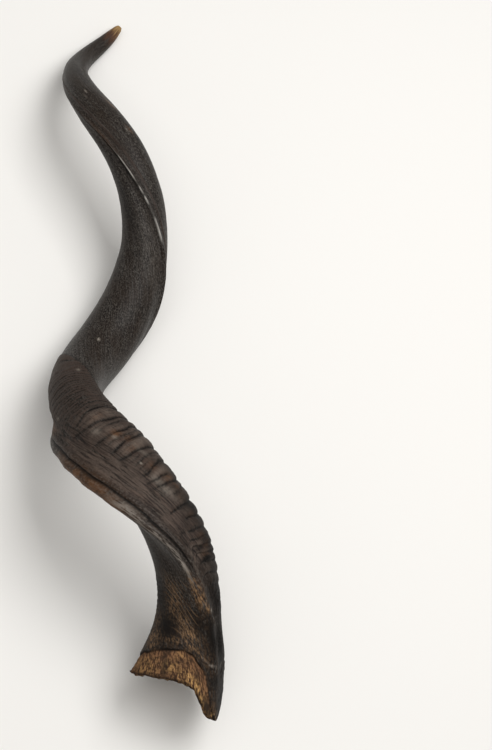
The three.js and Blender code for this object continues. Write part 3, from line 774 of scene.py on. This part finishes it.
def keratinValues(add):
    # every value of the horn's skin by name: fields of the mesh, patterns, shares and products
    k, value = keratin, {}
    for name in [*fields, *looks]:
        value[name] = add("Attribute", {"attribute_name": name}, out="Fac")
    grainMm = add("Attribute", {"attribute_name": "grain"}, out="Vector")
    for shift, (name, (wide, squeeze, detail)) in enumerate(k["patterns"].items()):
        lay = {"operation": "MULTIPLY_ADD", 1: (1, 1, squeeze), 2: (k["patternApart"] * shift, 0, 0)}
        moved = add("VectorMath", lay, {0: grainMm})
        look = {"Scale": 1 / wide, "Detail": detail, "Roughness": k["patternRough"]}
        value[name] = add("TexNoise", look, {"Vector": moved})
    squashed = add("VectorMath", {"operation": "MULTIPLY", 1: (1, 1, k["cellSquash"])}, {0: grainMm})
    look = {"Scale": 1 / k["cellMm"], "Randomness": k["cellRandom"]}
    cells = add("TexVoronoi", look, {"Vector": squashed})
    low, high = k["cellEdge"]
    limits = {"From Min": low, "From Max": high, "To Max": k["cellShare"]}
    value["cellEdge"] = add("MapRange", limits, {"Value": cells})
    value["worn"] = add("Math", {"operation": "MULTIPLY_ADD", 1: k["tipSpeckMm"]},
                        {0: value["tipSpeck"], 2: value["riseMm"]})
    for name, (source, *ends) in k["shares"].items():
        limits = dict(zip(("From Min", "From Max", "To Min", "To Max"), ends), interpolation_type="SMOOTHSTEP")
        value[name] = add("MapRange", limits, {"Value": value[source]})
    # growth lines show brown where the base is fibrous
    warped = add("Math", {"operation": "MULTIPLY_ADD", 1: k["growthWarpMm"]},
                 {0: value["growthWarp"], 2: value["growth"]})
    turned = add("Math", {"operation": "MULTIPLY", 1: 2 * math.pi / k["growthMm"]}, {0: warped})
    wave = add("Math", {"operation": "SINE"}, {0: turned})
    limits = {"From Min": k["growthCrest"], "From Max": 1.0, "To Max": k["growthShare"]}
    value["growthTop"] = add("MapRange", limits, {"Value": wave})
    for name, one, other in k["products"]:
        value[name] = add("Math", {"operation": "MULTIPLY"}, {0: value[one], 1: value[other]})
    return value


def hornKeratin():
    k = keratin
    material, add = newMaterial("weatheredHornKeratin")
    value = keratinValues(add)

    # the skin, and the strip by the rim that the animal's own skin covered
    skin = add("Mix", {"data_type": "RGBA", 0: 0, 6: hexColour(k["ground"])}, out=2)
    bare = add("Mix", {"data_type": "RGBA", 0: 0, 6: hexColour(k["bareGround"])}, out=2)
    skin, bare = layered(add, value, skin, k["layers"]), layered(add, value, bare, k["bareLayers"])
    colour = add("Mix", {"data_type": "RGBA"}, {0: value["bare"], 6: skin, 7: bare}, out=2)
    colour = layered(add, value, colour, k["lastLayers"])

    rough = add("Mix", {2: k["roughSmooth"], 3: k["roughRibbed"]}, {0: value["ribbed"]})
    rough = add("Mix", {3: k["roughBare"]}, {0: value["bare"], 2: rough})
    for source, gain in k["roughGains"]:
        rough = add("Math", {"operation": "MULTIPLY_ADD", 1: gain, "use_clamp": True},
                    {0: value[source], 2: rough})

    bump = add("Bump", {"Strength": k["speckBump"], "Distance": k["fineDeep"]}, {"Height": value["speck"]})
    bump = add("Bump", {"Strength": k["threadBump"], "Distance": k["fineDeep"]},
               {"Height": value["thread"], "Normal": bump})
    fibrous = add("Math", {"operation": "MAXIMUM"}, {0: value["bare"], 1: value["baseFibre"]})
    fibrous = add("Math", {"operation": "MULTIPLY", 1: k["fibreBump"]}, {0: fibrous})
    bump = add("Bump", {"Distance": k["fibreDeep"]},
               {"Strength": fibrous, "Height": value["bareFibre"], "Normal": bump})
    surface = add("BsdfPrincipled", {"IOR": k["ior"], "Specular IOR Level": k["specular"]},
                  {"Base Color": colour, "Roughness": rough, "Normal": bump})
    add("OutputMaterial", {}, {"Surface": surface})
    return material


# The inside of the sheath: unpolished keratin that lay against the bony core, which gives a dry, matt,
# straw-brown lining with fine lengthwise fibres.
lining = {
    "light": "#8a7152", "dark": "#4b3a29", "ior": 1.54, "roughLow": 0.7, "roughHigh": 0.85,
    "fibreMm": 2.5, "squeeze": 0.08, "detail": 3, "contrast": (0.35, 0.65), "bump": 0.5, "deep": 0.0006,
}


def sheathLining():
    material, add = newMaterial("dryHornLining")
    grainMm = add("Attribute", {"attribute_name": "grain"}, out="Vector")
    stretched = add("VectorMath", {"operation": "MULTIPLY", 1: (1, 1, lining["squeeze"])}, {0: grainMm})
    look = {"Scale": 1 / lining["fibreMm"], "Detail": lining["detail"]}
    fibre = add("TexNoise", look, {"Vector": stretched})
    low, high = lining["contrast"]
    share = add("MapRange", {"From Min": low, "From Max": high}, {"Value": fibre})
    tones = {"data_type": "RGBA", 6: hexColour(lining["dark"]), 7: hexColour(lining["light"])}
    colour = add("Mix", tones, {0: share}, out=2)
    limits = {"To Min": lining["roughHigh"], "To Max": lining["roughLow"]}
    rough = add("MapRange", limits, {"Value": fibre})
    bump = add("Bump", {"Strength": lining["bump"], "Distance": lining["deep"]}, {"Height": fibre})
    links = {"Base Color": colour, "Roughness": rough, "Normal": bump}
    surface = add("BsdfPrincipled", {"IOR": lining["ior"]}, links)
    add("OutputMaterial", {}, {"Surface": surface})
    return material


sheathMesh.materials.append(hornKeratin())
sheathMesh.materials.append(sheathLining())
inLining = np.array([all(isInside[v] for v in p.vertices) for p in sheathMesh.polygons], np.int32)
sheathMesh.polygons.foreach_set("material_index", inLining)
sheathMesh.update()

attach(hornSheath, "root")
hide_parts("horn_sheath")
print("horn sheath dressed")


floorSettings = {
    "half": 9.0, "colour": "#f4f2ee", "specular": 0.2,
    "rough": 0.9, "swing": 0.03, "mottleMm": 30, "detail": 2,
}


def plainFloor():
    # matt painted studio floor, which only catches the soft shadow
    s = floorSettings
    material, add = newMaterial("mattPaintedFloor")
    where = add("TexCoord", out="Object")
    mottle = add("TexNoise", {"Scale": 1000 / s["mottleMm"], "Detail": s["detail"]}, {"Vector": where})
    limits = {"To Min": s["rough"] - s["swing"], "To Max": s["rough"] + s["swing"]}
    rough = add("MapRange", limits, {"Value": mottle})
    look = {"Base Color": hexColour(s["colour"]), "Specular IOR Level": s["specular"]}
    surface = add("BsdfPrincipled", look, {"Roughness": rough})
    add("OutputMaterial", {}, {"Surface": surface})
    half = s["half"]
    mesh = bpy.data.meshes.new("studioFloor")
    corners = [(x * half, y * half, 0) for x, y in ((-1, -1), (1, -1), (1, 1), (-1, 1))]
    mesh.from_pydata(corners, [], [(0, 1, 2, 3)])
    mesh.materials.append(material)
    floor = bpy.data.objects.new("studioFloor", mesh)
    bpy.context.scene.collection.objects.link(floor)


plainFloor()

studio = {
    "sky": "#f3f1ee", "skyStrength": 0.34,
    # name, where it is, long and short side in metres, watts; all look at the middle of the horn
    "lamps": [
        ("keySoftbox", (0.95, 0.35, 2.6), 2.0, 1.6, 48), ("topSoftbox", (-0.7, -0.6, 3.0), 3.0, 2.6, 30),
        ("fillSoftbox", (-2.2, -1.2, 1.4), 1.6, 1.2, 2),
    ],
    "aimedAt": (0, 0, 0.1),
}


def lightStudio():
    world = bpy.data.worlds.new("softStudio")
    world.use_nodes = True
    background = world.node_tree.nodes["Background"]
    background.inputs["Color"].default_value = hexColour(studio["sky"])
    background.inputs["Strength"].default_value = studio["skyStrength"]
    bpy.context.scene.world = world
    for name, where, longSide, shortSide, watts in studio["lamps"]:
        lamp = bpy.data.lights.new(name, "AREA")
        lamp.shape = "RECTANGLE"
        lamp.size, lamp.size_y, lamp.energy = longSide, shortSide, watts
        holder = bpy.data.objects.new(name, lamp)
        holder.location = where
        holder.rotation_mode = "QUATERNION"
        holder.rotation_quaternion = (Vector(studio["aimedAt"]) - Vector(where)).to_track_quat("-Z", "Y")
        bpy.context.scene.collection.objects.link(holder)
    bpy.context.scene.view_settings.view_transform = "Standard"


lightStudio()

view = {
    "slant": 4.0,              # degrees that the coil axis leans sideways in the frame
    "leanBack": 24.0,          # degrees that the tip leans away from the camera
    "place": (70.7, -814.5, 2716.4),   # millimetres in the coil's own frame
    "lens": 110.8, "sensor": 36,       # millimetres, the sensor along the long side
    "clip": (0.1, 50),
}


def aimCamera():
    slant, lean = math.radians(view["slant"]), math.radians(view["leanBack"])
    right = np.array([math.cos(slant), -math.sin(slant), 0])
    up = np.array([math.cos(lean) * math.sin(slant), math.cos(lean) * math.cos(slant), math.sin(lean)])
    axes = restTurn @ np.stack([right, up, np.cross(right, up)], 1)
    place, _ = restFrame(np.array(view["place"]))
    camera = bpy.data.objects.new("camera", bpy.data.cameras.new("camera"))
    camera.data.lens, camera.data.sensor_width = view["lens"], view["sensor"]
    camera.data.clip_start, camera.data.clip_end = view["clip"]
    camera.matrix_world = Matrix.Translation(place.tolist()) @ Matrix(axes.tolist()).to_4x4()
    bpy.context.scene.collection.objects.link(camera)
    bpy.context.scene.camera = camera


aimCamera()
print("floor, lamps and camera in place")
